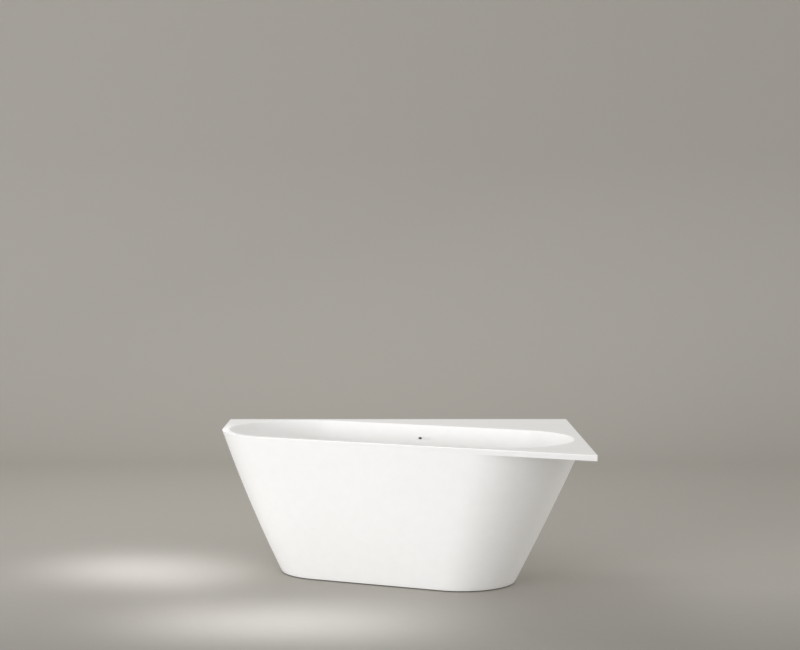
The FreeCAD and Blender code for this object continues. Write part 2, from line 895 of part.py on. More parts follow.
def make_foot_lock_nuts():
    nuts = []
    for spot in foot_spots().values():
        low = foot_boss_bottom - lock_nut_height
        nut = hex_prism(lock_nut_width, lock_nut_height, low)
        nut = nut.cut(Part.makeCylinder(rod_radius + running_gap, lock_nut_height, up * low, up))
        nut.translate(spot)
        nuts.append(nut)
    return Part.makeCompound(nuts)


def make_foot_rod(spot):
    top = web_bottom - rod_top_gap
    return Part.makeCylinder(rod_radius, top - pad_floor, spot + up * pad_floor, up)


def make_foot_pad(spot):
    disc = Part.makeCylinder(pad_radius, pad_thickness, spot, up)
    top_edges = [edge for edge in disc.Edges if edge.BoundBox.ZMin > pad_thickness / 2]
    disc = disc.makeFillet(deck_edge_round, top_edges)
    hub_start = spot + up * (pad_thickness - overlap)
    hub = Part.makeCylinder(pad_hub_radius, pad_hub_height + overlap, hub_start, up)
    socket = Part.makeCylinder(
        rod_radius + fit_gap, pad_thickness + pad_hub_height, spot + up * pad_floor, up
    )
    return fused([disc, hub]).cut(socket)


def bracket_placements():
    """Each bracket's middle on its wall, turned so that its own +Y points into the wall."""
    back_wall = deck_depth / 2
    side_wall = deck_width / 2
    to_back = FreeCAD.Rotation()
    to_side = FreeCAD.Rotation(up, -90)
    back_left = Vector(-side_wall + back_left_bracket_inset, back_wall, 0)
    back_right = Vector(side_wall - back_right_bracket_inset, back_wall, 0)
    side_rear = Vector(side_wall, back_wall - side_rear_bracket_inset, 0)
    side_front = Vector(side_wall, back_wall - side_front_bracket_inset, 0)
    return {
        "back_left_bracket": FreeCAD.Placement(back_left, to_back),
        "back_right_bracket": FreeCAD.Placement(back_right, to_back),
        "side_rear_bracket": FreeCAD.Placement(side_rear, to_side),
        "side_front_bracket": FreeCAD.Placement(side_front, to_side),
    }


def bracket_screw_spots():
    spots = []
    for placement in bracket_placements().values():
        for side in (-0.5, 0.5):
            spots.append(placement.multVec(Vector(side * bracket_hole_spacing, -bracket_screw_inset, 0)))
    return spots


def make_bracket(placement):
    """Angle with one leg screwed up into the deck and one leg flat against the wall."""
    half = bracket_width / 2
    shelf = block(-half, half, -bracket_leg, 0, deck_bottom - bracket_wall, deck_bottom)
    plate = block(-half, half, -bracket_wall, 0, deck_bottom - bracket_drop, deck_bottom)
    cuts = []
    for side in (-0.5, 0.5):
        x = side * bracket_hole_spacing
        shelf_hole = Vector(x, -bracket_screw_inset, deck_bottom - bracket_wall)
        wall_hole = Vector(x, -bracket_wall, deck_bottom - bracket_hole_drop)
        cuts.append(Part.makeCylinder(bracket_screw_radius + fit_gap, bracket_wall, shelf_hole, up))
        cuts.append(Part.makeCylinder(bracket_hole_radius, bracket_wall, wall_hole, Vector(0, 1, 0)))
    return fused([shelf, plate]).cut(cuts).transformed(placement.toMatrix(), True)


def make_bracket_screws():
    length = bracket_wall + insert_length - overlap
    screws = []
    for spot in bracket_screw_spots():
        screws.append(
            screw(bracket_screw_radius, length, spot + up * (deck_bottom - bracket_wall), up)
        )
    return Part.makeCompound(screws)


def make_deck_inserts():
    inserts = []
    for spot in bracket_screw_spots():
        inserts.append(
            tube(
                insert_radius,
                bracket_screw_radius + fit_gap,
                deck_bottom,
                deck_bottom + insert_length,
                spot.x,
                spot.y,
            )
        )
    return Part.makeCompound(inserts)


left_rail_along, right_rail_along = rail_positions()
nodes = {
    "basin": make_basin(),
    "apron": make_apron(),
    "drain_flange": in_part_frame(make_drain_flange()),
    "flange_gasket": in_part_frame(make_flange_gasket()),
    "plug_cartridge": in_part_frame(make_plug_cartridge()),
    "plug_cap": in_part_frame(make_plug_cap()),
    "plug_seal": in_part_frame(make_plug_seal()),
    "plug_stem": in_part_frame(make_plug_stem()),
    "waste_gasket": in_part_frame(make_waste_gasket()),
    "waste_body": make_waste_body(),
    "trap_inlet_seal": at_joint(joint_seal(pipe_radius), inlet_joint()),
    "trap_inlet_nut": at_joint(joint_nut(pipe_radius), inlet_joint()),
    "trap_bend": make_trap_bend(),
    "trap_cleanout_cap": make_trap_cleanout_cap(),
    "trap_outlet_seal": at_joint(joint_seal(spigot_radius), outlet_joint()),
    "trap_outlet_nut": at_joint(joint_nut(spigot_radius), outlet_joint()),
    "outlet_pipe": make_outlet_pipe(),
    "overflow_gasket": in_part_frame(make_overflow_gasket()),
    "overflow_elbow": in_part_frame(make_overflow_elbow()),
    "overflow_screws": in_part_frame(make_overflow_screws()),
    "overflow_pipe": in_part_frame(make_overflow_pipe()),
    "overflow_pipe_seal": at_joint(joint_seal(overflow_pipe_radius), overflow_joint()),
    "overflow_pipe_nut": at_joint(joint_nut(overflow_pipe_radius), overflow_joint()),
    "base_board": in_part_frame(make_base_board()),
    "left_rail": in_part_frame(make_rail(left_rail_along)),
    "right_rail": in_part_frame(make_rail(right_rail_along)),
    "rail_screws": in_part_frame(make_rail_screws()),
    "foot_bosses": in_part_frame(make_foot_bosses()),
    "foot_lock_nuts": in_part_frame(make_foot_lock_nuts()),
    "bracket_screws": make_bracket_screws(),
    "deck_inserts": make_deck_inserts(),
}
for name, spot in foot_spots().items():
    nodes[name + "_foot_rod"] = in_part_frame(make_foot_rod(spot))
    nodes[name + "_foot_pad"] = in_part_frame(make_foot_pad(spot))
for name, placement in bracket_placements().items():
    nodes[name] = make_bracket(placement)

os.makedirs("parts", exist_ok=True)
for name, shape in nodes.items():
    shape.exportStep("parts/" + name + ".step")
    box = shape.BoundBox
    print(
        name,
        len(shape.Solids),
        "valid" if shape.isValid() else "INVALID",
        "volume %.0f" % shape.Volume,
        "x %.1f..%.1f y %.1f..%.1f z %.1f..%.1f"
        % (box.XMin, box.XMax, box.YMin, box.YMax, box.ZMin, box.ZMax),
    )
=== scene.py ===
import bmesh
import bpy
import json
import math
from mathutils import Euler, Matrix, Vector


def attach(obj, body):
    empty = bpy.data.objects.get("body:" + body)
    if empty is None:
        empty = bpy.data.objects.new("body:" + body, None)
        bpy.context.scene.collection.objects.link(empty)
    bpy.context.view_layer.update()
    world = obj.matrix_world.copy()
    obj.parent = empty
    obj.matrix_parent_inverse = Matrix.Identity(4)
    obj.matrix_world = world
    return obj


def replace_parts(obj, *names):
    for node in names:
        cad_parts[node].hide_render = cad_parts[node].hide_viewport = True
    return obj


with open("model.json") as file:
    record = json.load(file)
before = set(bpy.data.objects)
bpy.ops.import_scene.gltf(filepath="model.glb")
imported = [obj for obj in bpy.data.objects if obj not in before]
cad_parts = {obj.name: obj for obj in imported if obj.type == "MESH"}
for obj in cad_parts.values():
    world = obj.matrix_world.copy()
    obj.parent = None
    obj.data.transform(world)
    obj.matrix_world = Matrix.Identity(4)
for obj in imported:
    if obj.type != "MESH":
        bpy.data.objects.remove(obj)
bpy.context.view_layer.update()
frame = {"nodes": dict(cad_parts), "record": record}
nodes = frame["nodes"]
mm = 0.001
creaseAngle = math.radians(35)
print("frame loaded:", len(nodes), "nodes")

# The bath frame lies along the bowl: x from the centre of its round left end, y towards the back
deck = {
    "width": 1500, "depth": 1190, "height": 615, "thickness": 23.5,
    "endRadius": 336, "endCentreToBack": 339, "endGapToSide": 6.9,
    "edgeRound": 2.0, "edgeBand": 3.0, "cornerRound": 1.5, "support": 1.5,
    "rimStrip": 0.9, "leastCorner": 0.1, "roundSteps": 5, "bandSteps": 6,
}
leftCentre = Vector((deck["endRadius"] - deck["width"] / 2, deck["depth"] / 2 - deck["endCentreToBack"]))
frontCorner = Vector((deck["width"] / 2, -deck["depth"] / 2)) - leftCentre
bathTurn = math.atan2(frontCorner.y, frontCorner.x) + math.asin(deck["endRadius"] / frontCorner.length)
alongDir = Vector((math.cos(bathTurn), math.sin(bathTurn)))
acrossDir = Vector((-math.sin(bathTurn), math.cos(bathTurn)))
rightCentreX = deck["width"] / 2 - deck["endGapToSide"] - deck["endRadius"]
deck["endSpacing"] = (rightCentreX - leftCentre.x) / alongDir.x
deckBottom = deck["height"] - deck["thickness"]


def inPartFrame(along, across, z):
    flat = leftCentre + alongDir * along + acrossDir * across
    return Vector((flat.x, flat.y, z)) * mm


# ---- materials ----
def linear(hexColour):
    channels = [int(hexColour[i:i + 2], 16) / 255 for i in (1, 3, 5)]
    return tuple(c / 12.92 if c <= 0.04045 else ((c + 0.055) / 1.055) ** 2.4 for c in channels) + (1,)


def addNode(tree, kind, inputs=(), **settings):
    node = tree.nodes.new(kind)
    for name, value in settings.items():
        setattr(node, name, value)
    for socket, value in dict(inputs).items():
        if isinstance(value, bpy.types.NodeSocket):
            tree.links.new(value, node.inputs[socket])
        else:
            node.inputs[socket].default_value = value
    return node


def newMaterial(name, **shaderInputs):
    material = bpy.data.materials.new(name)
    material.use_nodes = True
    shader = material.node_tree.nodes["Principled BSDF"]
    for socket, value in shaderInputs.items():
        shader.inputs[socket.replace("_", " ")].default_value = value
    return material, material.node_tree, shader


def objectNoise(tree, sizeMm, detail=2.0, stretch=(1, 1, 1)):
    place = addNode(tree, "ShaderNodeTexCoord").outputs["Object"]
    scaled = addNode(tree, "ShaderNodeMapping", {"Vector": place, "Scale": stretch}).outputs["Vector"]
    grain = {"Vector": scaled, "Scale": 1000 / sizeMm, "Detail": detail}
    return addNode(tree, "ShaderNodeTexNoise", grain).outputs["Fac"]


def colourBetween(tree, shader, pattern, dark, light, low=0.3, high=0.7):
    ramp = addNode(tree, "ShaderNodeValToRGB", {"Fac": pattern})
    ramp.color_ramp.elements[0].position = low
    ramp.color_ramp.elements[0].color = linear(dark)
    ramp.color_ramp.elements[1].position = high
    ramp.color_ramp.elements[1].color = linear(light)
    tree.links.new(ramp.outputs["Color"], shader.inputs["Base Color"])


def roughnessBetween(tree, shader, pattern, low, high):
    spread = addNode(tree, "ShaderNodeMapRange", {"Value": pattern, "To Min": low, "To Max": high})
    tree.links.new(spread.outputs["Result"], shader.inputs["Roughness"])


def bumpFrom(tree, shader, pattern, depthMm, strength):
    relief = {"Height": pattern, "Distance": depthMm * mm, "Strength": strength}
    tree.links.new(addNode(tree, "ShaderNodeBump", relief).outputs["Normal"], shader.inputs["Normal"])


def makeCastMineral():
    # Mineral composite cast in a mould and sanded to a satin: white with a very faint cloudiness
    material, tree, shader = newMaterial("sandedCastMineralComposite", IOR=1.49)
    colourBetween(tree, shader, objectNoise(tree, 40, 3), "#F4F3F1", "#F6F5F3")
    roughnessBetween(tree, shader, objectNoise(tree, 6, 3), 0.36, 0.44)
    # The sanding grain is drawn coarse enough to show
    bumpFrom(tree, shader, objectNoise(tree, 1.5), 0.02, 0.35)
    return material


def makeChrome():
    # Polished brass with chrome plating: bright, with faint wiping marks
    material, tree, shader = newMaterial("polishedChromePlate", Metallic=1.0)
    colourBetween(tree, shader, objectNoise(tree, 12), "#D2D5D7", "#DDE0E2")
    roughnessBetween(tree, shader, objectNoise(tree, 4, 4), 0.05, 0.12)
    return material


def makeSteel():
    # Turned stainless steel with fine lathe marks round its shank
    material, tree, shader = newMaterial("turnedStainlessSteel", Metallic=1.0)
    lathe = objectNoise(tree, 1.2, 2, (1, 1, 12))
    colourBetween(tree, shader, lathe, "#B3B6B8", "#C6C9CB")
    roughnessBetween(tree, shader, lathe, 0.22, 0.36)
    return material


def makeZinc():
    # Zinc-plated pressed steel: cool grey with a patchy spangle
    material, tree, shader = newMaterial("zincPlatedPressedSteel", Metallic=1.0)
    place = addNode(tree, "ShaderNodeTexCoord").outputs["Object"]
    flakes = addNode(tree, "ShaderNodeTexVoronoi", {"Vector": place, "Scale": 1000 / 7})
    spangle = addNode(tree, "ShaderNodeSeparateColor", {"Color": flakes.outputs["Color"]}).outputs["Red"]
    colourBetween(tree, shader, spangle, "#A9AEB2", "#C3C8CB", 0.0, 1.0)
    roughnessBetween(tree, shader, spangle, 0.28, 0.45)
    return material


def makeRubber():
    # Moulded nitrile rubber: near black, dull, with a dusty bloom
    material, tree, shader = newMaterial("mouldedNitrileRubber", IOR=1.52)
    colourBetween(tree, shader, objectNoise(tree, 5, 4), "#1B1B1B", "#262626")
    roughnessBetween(tree, shader, objectNoise(tree, 2, 2), 0.7, 0.85)
    bumpFrom(tree, shader, objectNoise(tree, 0.8), 0.05, 0.4)
    return material


def makePolypropylene():
    # Injection-moulded polypropylene: soft white with a fine spark-eroded texture
    material, tree, shader = newMaterial("mouldedWhitePolypropylene", IOR=1.49)
    colourBetween(tree, shader, objectNoise(tree, 30, 2), "#E6E6E3", "#ECECEA")
    roughnessBetween(tree, shader, objectNoise(tree, 3, 2), 0.42, 0.52)
    bumpFrom(tree, shader, objectNoise(tree, 1.0), 0.04, 0.4)
    return material


def makeExtrudedPlastic():
    # Extruded grey ABS: slight lengthwise drawing lines
    material, tree, shader = newMaterial("extrudedGreyAbs", IOR=1.53)
    colourBetween(tree, shader, objectNoise(tree, 4, 2, (6, 6, 1)), "#787A7C", "#838587")
    roughnessBetween(tree, shader, objectNoise(tree, 2, 2), 0.38, 0.48)
    return material


def makePlywood():
    # Sealed birch plywood: straight pale grain along the board
    material, tree, shader = newMaterial("sealedBirchPlywood", IOR=1.5)
    place = addNode(tree, "ShaderNodeTexCoord").outputs["Object"]
    turned = addNode(
        tree, "ShaderNodeMapping",
        {"Vector": place, "Rotation": (0, 0, -bathTurn), "Scale": (0.08, 1, 3)},
    )
    grain = addNode(
        tree, "ShaderNodeTexNoise",
        {"Vector": turned.outputs["Vector"], "Scale": 1000 / 5, "Detail": 5, "Distortion": 0.15},
    ).outputs["Fac"]
    colourBetween(tree, shader, grain, "#BC9C6E", "#D6BC92", 0.35, 0.65)
    roughnessBetween(tree, shader, grain, 0.5, 0.66)
    bumpFrom(tree, shader, grain, 0.15, 0.4)
    return material


def makeBrass():
    # Knurled brass inserts, dull from the press
    material, tree, shader = newMaterial("pressedBrass", Metallic=1.0)
    colourBetween(tree, shader, objectNoise(tree, 3, 2), "#B89A5A", "#CDB274")
    roughnessBetween(tree, shader, objectNoise(tree, 2, 2), 0.3, 0.42)
    return material


def makeNylon():
    # Moulded black nylon foot pads
    material, tree, shader = newMaterial("mouldedBlackNylon", IOR=1.53)
    colourBetween(tree, shader, objectNoise(tree, 8, 2), "#1E1F20", "#282A2B")
    roughnessBetween(tree, shader, objectNoise(tree, 2, 2), 0.5, 0.62)
    bumpFrom(tree, shader, objectNoise(tree, 0.9), 0.05, 0.5)
    return material


finishes = {
    "white_composite": makeCastMineral(),
    "chromed_brass": makeChrome(),
    "stainless_steel": makeSteel(),
    "black_rubber": makeRubber(),
    "white_polypropylene": makePolypropylene(),
    "grey_plastic_pipe": makeExtrudedPlastic(),
    "birch_plywood": makePlywood(),
    "zinc_plated_steel": makeZinc(),
    "brass": makeBrass(),
    "black_nylon": makeNylon(),
}
for subpart in frame["record"]["subparts"]:
    for slot in nodes[subpart["node"]].material_slots:
        slot.material = finishes[subpart["material_slot"]]
print("materials made:", len(finishes))


# The apron tapers from the deck to the floor; the bows are the middle's swell as a share of each inset
apron = {
    "wall": 10, "gap": 4, "frontBow": 0.04, "footBow": 0.017, "bottomRound": 1.5,
    "headInset": 228, "footInset": 302, "frontInset": 183.5, "backInset": 30.5,
    "serviceBeforeDrain": 205, "serviceLength": 305, "cutMargin": 5, "cutReach": 10,
    "levels": 36, "roundSteps": 4,
}


def swelled(share, bow):
    return share - bow * 4 * share * (1 - share)


def apronUnderDeck(z):
    # The apron's left, front and back at height z, where the deck's edge follows it. The head and the
    # front slope from the deck's edge band, the back from under the deck
    top = deck["height"] - deck["edgeBand"]
    ahead = swelled(max(top - z, 0) / (top - apron["gap"]), apron["frontBow"])
    under = swelled(max(deckBottom - z, 0) / (deckBottom - apron["gap"]), apron["footBow"])
    return (
        -deck["endRadius"] + apron["headInset"] * ahead,
        -deck["endRadius"] + apron["frontInset"] * ahead,
        deck["endRadius"] - apron["backInset"] * under,
    )


# ---- mesh helpers ----
def arcPoints(centre, radius, start, end, count):
    turns = [start + (end - start) * i / count for i in range(count + 1)]
    return [Vector((centre[0] + radius * math.cos(t), centre[1] + radius * math.sin(t))) for t in turns]


def longRound(extents, bow, endSteps=56, sideSteps=36):
    # Outline with round ends in the bath frame; each side is one shallow arc that runs on from the ends
    left, right, front, back = extents
    radius = (back - front) / 2
    middle = (back + front) / 2
    leftEnd, rightEnd = left + radius, right - radius
    half = (rightEnd - leftEnd) / 2
    lean = math.asin(2 * half * bow / (half * half + bow * bow))
    quarter = math.pi / 2
    leftArc = arcPoints((leftEnd, middle), radius, quarter + lean, 3 * quarter - lean, endSteps)
    rightArc = arcPoints((rightEnd, middle), radius, -quarter + lean, quarter - lean, endSteps)
    sagitta = bow + radius * (1 - math.cos(lean))
    sides = []
    for start, end, out in ((leftArc[-1], rightArc[0], -1), (rightArc[-1], leftArc[0], 1)):
        halfChord = abs(end.x - start.x) / 2
        sweep = (halfChord ** 2 + sagitta ** 2) / (2 * sagitta)
        side = []
        for i in range(1, sideSteps):
            point = start.lerp(end, i / sideSteps)
            off = point.x - (start.x + end.x) / 2
            rise = math.sqrt(sweep * sweep - off * off) - sweep + sagitta
            side.append(Vector((point.x, point.y + out * rise)))
        sides.append(side)
    return leftArc + sides[0] + rightArc + sides[1]


def addLoop(mesh, outline, z, placed=False):
    if placed:
        return [mesh.verts.new(Vector((p.x, p.y, z)) * mm) for p in outline]
    return [mesh.verts.new(inPartFrame(p.x, p.y, z)) for p in outline]


def joinLoops(mesh, first, second):
    count = len(first)
    for i in range(count):
        j = (i + 1) % count
        mesh.faces.new((first[i], first[j], second[j], second[i]))


def fillBetween(mesh, loops):
    # Flat fill of a loop, with the second loop as its hole if there is one
    edges = set()
    for loop in loops:
        for i, vert in enumerate(loop):
            following = loop[(i + 1) % len(loop)]
            edges.add(mesh.edges.get((vert, following)) or mesh.edges.new((vert, following)))
    bmesh.ops.triangle_fill(mesh, edges=list(edges), use_beauty=True)


def finishMesh(mesh, name, material):
    bmesh.ops.recalc_face_normals(mesh, faces=mesh.faces)
    data = bpy.data.meshes.new(name)
    mesh.to_mesh(data)
    mesh.free()
    piece = bpy.data.objects.new(name, data)
    bpy.context.scene.collection.objects.link(piece)
    data.materials.append(material)
    data.shade_smooth()
    data.set_sharp_from_angle(angle=creaseAngle)
    return piece


def cutWith(piece, tool, operation="DIFFERENCE"):
    modifier = piece.modifiers.new("cut", "BOOLEAN")
    modifier.operation = operation
    modifier.solver = "EXACT"
    modifier.object = tool
    applyModifiers(piece)
    bpy.data.objects.remove(tool)


def applyModifiers(piece):
    graph = bpy.context.evaluated_depsgraph_get()
    data = bpy.data.meshes.new_from_object(piece.evaluated_get(graph), depsgraph=graph)
    piece.modifiers.clear()
    piece.data = data


def closedTool(mesh, name, first, second):
    joinLoops(mesh, first, second)
    mesh.faces.new(first)
    mesh.faces.new(second)
    return finishMesh(mesh, name, finishes["white_composite"])


def blockTool(low, high):
    mesh = bmesh.new()
    (left, front, bottom), (right, back, top) = low, high
    ring = [Vector(p) for p in ((left, front), (right, front), (right, back), (left, back))]
    return closedTool(mesh, "blockTool", addLoop(mesh, ring, bottom), addLoop(mesh, ring, top))


def roundTool(along, across, radius, low, high, steps=72):
    mesh = bmesh.new()
    ring = arcPoints((along, across), radius, 0, 2 * math.pi, steps)[:-1]
    return closedTool(mesh, "roundTool", addLoop(mesh, ring, low), addLoop(mesh, ring, high))


def slotTool(along, z, length, height, nearAcross, farAcross, endSteps=16):
    mesh = bmesh.new()
    radius = height / 2
    half = length / 2 - radius
    ring = arcPoints((along + half, z), radius, -math.pi / 2, math.pi / 2, endSteps)
    ring += arcPoints((along - half, z), radius, math.pi / 2, 3 * math.pi / 2, endSteps)
    near = [mesh.verts.new(inPartFrame(p.x, nearAcross, p.y)) for p in ring]
    far = [mesh.verts.new(inPartFrame(p.x, farAcross, p.y)) for p in ring]
    return closedTool(mesh, "slotTool", near, far)


# ---- basin: the deck and the bowl ----
bowl = {
    "rim": 30, "lip": 2.5, "bow": 4.5, "floor": 175, "wall": 10,
    "headInset": 192, "footInset": 212, "frontInset": 132, "backInset": 60,
    "headFillet": 40, "footFillet": 60, "frontFillet": 60, "backFillet": 30,
    "filletSteps": 28, "wallSteps": 10, "lipSteps": 6, "floorRings": (90, 45, 15, 4),
}
drain = {
    "along": deck["endSpacing"] / 2, "across": 151, "hole": 25.05,
    "recess": 7, "recessRadius": 39, "boss": 5, "bossRadius": 48, "bossTopBelowFloor": 4,
}
# relief keeps the hole a hair inside the slot that it starts from
overflow = {
    "drop": 58, "length": 60, "slot": 10, "groove": 4, "hole": 15, "relief": 0.04,
    "bossLength": 120, "bossHeight": 54, "bossInWall": 7, "bossInDeck": 2,
    "slotStart": 20, "holeStart": 10,
}
cutBeyond = 5
bowlDepth = deck["height"] - bowl["floor"]
mouthRadius = deck["endRadius"] - bowl["rim"]


def filletReach(inset, fillet):
    lean = math.atan2(inset, bowlDepth)
    reach = fillet * math.tan((math.pi / 2 - lean) / 2)
    return reach, reach * math.cos(lean)


def wallInset(inset, fillet, rise):
    reach, top = filletReach(inset, fillet)
    if rise >= top:
        return inset * (1 - rise / bowlDepth)
    return inset + reach - math.sqrt(fillet ** 2 - (fillet - rise) ** 2)


def bowlExtents(rise, grow=0.0):
    return (
        -mouthRadius + wallInset(bowl["headInset"], bowl["headFillet"], rise) - grow,
        deck["endSpacing"] + mouthRadius - wallInset(bowl["footInset"], bowl["footFillet"], rise) + grow,
        -mouthRadius + wallInset(bowl["frontInset"], bowl["frontFillet"], rise) - grow,
        mouthRadius - wallInset(bowl["backInset"], bowl["backFillet"], rise) + grow,
    )


def bowlRises():
    ends = ("head", "foot", "front", "back")
    top = max(filletReach(bowl[end + "Inset"], bowl[end + "Fillet"])[1] for end in ends)
    count = bowl["filletSteps"]
    rises = [top * (1 - math.cos(math.pi / 2 * i / count)) for i in range(count + 1)]
    last = bowlDepth - bowl["lip"]
    return rises + [top + (last - top) * i / bowl["wallSteps"] for i in range(1, bowl["wallSteps"] + 1)]


def deckOutline(z, shrink=0.0, radiusSteps=64, cornerSteps=5):
    # The deck's outline at height z, moved in by shrink, with small rounds at its three corners
    corner = max(deck["cornerRound"], shrink + deck["leastCorner"])
    small = corner - shrink
    left, front, back = apronUnderDeck(z)
    radius = (back - front) / 2
    centre = leftCentre + alongDir * (left + radius) + acrossDir * ((front + back) / 2)
    right = deck["width"] / 2 - corner
    backY = deck["depth"] / 2 - corner
    frontY = centre.y - (radius - corner + (right - centre.x) * acrossDir.x) / acrossDir.y
    frontTurn = 3 * math.pi / 2 + bathTurn
    points = arcPoints((centre.x - radius + corner, backY), small, math.pi / 2, math.pi, cornerSteps)
    points += arcPoints(centre, radius - shrink, math.pi, frontTurn, radiusSteps)
    points += arcPoints((right, frontY), small, frontTurn, 2 * math.pi, cornerSteps)
    points += arcPoints((right, backY), small, 0, math.pi / 2, cornerSteps)
    return points


def makeInside(mesh):
    # The floor, fillets, walls and lip of the bowl, from the floor's middle up to the deck
    bow, floor = bowl["bow"], bowl["floor"]
    rings = []
    for shrink in bowl["floorRings"]:
        rings.append(addLoop(mesh, longRound(bowlExtents(0, -shrink), bow), floor))
    loops = [addLoop(mesh, longRound(bowlExtents(rise), bow), floor + rise) for rise in bowlRises()]
    for i in range(1, bowl["lipSteps"] + 1):
        turn = math.pi / 2 * i / bowl["lipSteps"]
        rise = bowlDepth - bowl["lip"] * (1 - math.sin(turn))
        grow = bowl["lip"] * (1 - math.cos(turn))
        loops.append(addLoop(mesh, longRound(bowlExtents(rise, grow), bow), floor + rise))
    support = bowlExtents(bowlDepth, bowl["lip"] + deck["support"])
    loops.append(addLoop(mesh, longRound(support, bow), deck["height"]))
    mesh.faces.new(rings[0])
    for first, second in zip(rings + loops[:-1], rings[1:] + loops):
        joinLoops(mesh, first, second)
    return loops[-1]


def makeDeckEdge(mesh):
    # The deck's rounded edge, its band and its face down to the underside
    top = deck["height"]
    edges = [addLoop(mesh, deckOutline(top, deck["edgeRound"] + deck["rimStrip"]), top, True)]
    for i in range(deck["roundSteps"] + 1):
        turn = math.pi / 2 * i / deck["roundSteps"]
        z = top - deck["edgeRound"] * (1 - math.cos(turn))
        edges.append(addLoop(mesh, deckOutline(z, deck["edgeRound"] * (1 - math.sin(turn))), z, True))
    band = top - deck["edgeBand"]
    for i in range(deck["bandSteps"] + 1):
        z = band + (deckBottom - band) * i / deck["bandSteps"]
        edges.append(addLoop(mesh, deckOutline(z), z, True))
    for first, second in zip(edges, edges[1:]):
        joinLoops(mesh, first, second)
    return edges[0], edges[-1]


def makeOutside(mesh):
    # The bowl's outer skin, a wall's thickness out, from its underside up to the deck's
    outer = []
    top = deckBottom + bowl["wall"] - bowl["floor"]
    for rise in [r for r in bowlRises() if r < top - 1] + [top]:
        outline = longRound(bowlExtents(rise, bowl["wall"]), bowl["bow"])
        outer.append(addLoop(mesh, outline, bowl["floor"] + rise - bowl["wall"]))
    for first, second in zip(outer, outer[1:]):
        joinLoops(mesh, first, second)
    mesh.faces.new(outer[0])
    return outer[-1]


# The overflow's height, the bowl's wall there, and how far back its boss goes
overflowZ = deck["height"] - overflow["drop"]
overflowWall = bowlExtents(bowlDepth - overflow["drop"])[3] + bowl["bow"]
bossBack = mouthRadius + bowl["bow"] + bowl["wall"]
drainBottom = bowl["floor"] - bowl["wall"] - drain["boss"]


def addBosses(basin):
    half = overflow["bossLength"] / 2
    bottom = overflowZ - overflow["bossHeight"] / 2
    low = (drain["along"] - half, overflowWall + overflow["bossInWall"], bottom)
    high = (drain["along"] + half, bossBack, deckBottom + overflow["bossInDeck"])
    cutWith(basin, blockTool(low, high), "UNION")
    top = bowl["floor"] - drain["bossTopBelowFloor"]
    boss = roundTool(drain["along"], drain["across"], drain["bossRadius"], drainBottom, top)
    cutWith(basin, boss, "UNION")


def cutDrain(basin):
    above = bowl["floor"] + cutBeyond
    recess = (drain["recessRadius"], bowl["floor"] - drain["recess"])
    for radius, bottom in (recess, (drain["hole"], drainBottom - cutBeyond)):
        cutWith(basin, roundTool(drain["along"], drain["across"], radius, bottom, above))


def cutOverflow(basin):
    near, far = overflowWall - overflow["slotStart"], overflowWall + overflow["groove"]
    cutWith(basin, slotTool(drain["along"], overflowZ, overflow["length"], overflow["slot"], near, far))
    length, height = (overflow[side] - overflow["relief"] for side in ("hole", "slot"))
    along = drain["along"] - (overflow["length"] - overflow["hole"]) / 2
    near, far = overflowWall - overflow["holeStart"], bossBack + cutBeyond
    cutWith(basin, slotTool(along, overflowZ, length, height, near, far))


def makeBasin():
    mesh = bmesh.new()
    mouth = makeInside(mesh)
    deckTop, deckUnder = makeDeckEdge(mesh)
    fillBetween(mesh, [mouth, deckTop])
    fillBetween(mesh, [makeOutside(mesh), deckUnder])
    basin = finishMesh(mesh, "basin_casting", finishes["white_composite"])
    addBosses(basin)
    cutDrain(basin)
    cutOverflow(basin)
    basin.data.set_sharp_from_angle(angle=creaseAngle)
    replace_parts(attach(basin, "bath"), "basin")


makeBasin()
print("basin made")


# ---- apron: the tapering skin round the bowl ----
def calc(tree, operation, first, second=0.0, third=0.0):
    values = {0: first, 1: second, 2: third}
    return addNode(tree, "ShaderNodeMath", values, operation=operation).outputs["Value"]


def stored(tree, name):
    kind = "GeometryNodeInputNamedAttribute"
    return addNode(tree, kind, {"Name": name}, data_type="FLOAT").outputs["Attribute"]


def joined(tree, **axes):
    return addNode(tree, "ShaderNodeCombineXYZ", axes).outputs["Vector"]


def swellNodes(tree, height, top, gap, bow):
    # The same rule as swelled: the share of the way down from the top, bowed out in the middle
    drop = calc(tree, "MAXIMUM", calc(tree, "SUBTRACT", top, height), 0.0)
    share = calc(tree, "DIVIDE", drop, calc(tree, "SUBTRACT", top, gap))
    rest = calc(tree, "SUBTRACT", 1.0, share)
    bowed = calc(tree, "MULTIPLY", bow, -4.0)
    return calc(tree, "MULTIPLY_ADD", calc(tree, "MULTIPLY", share, rest), bowed, share)


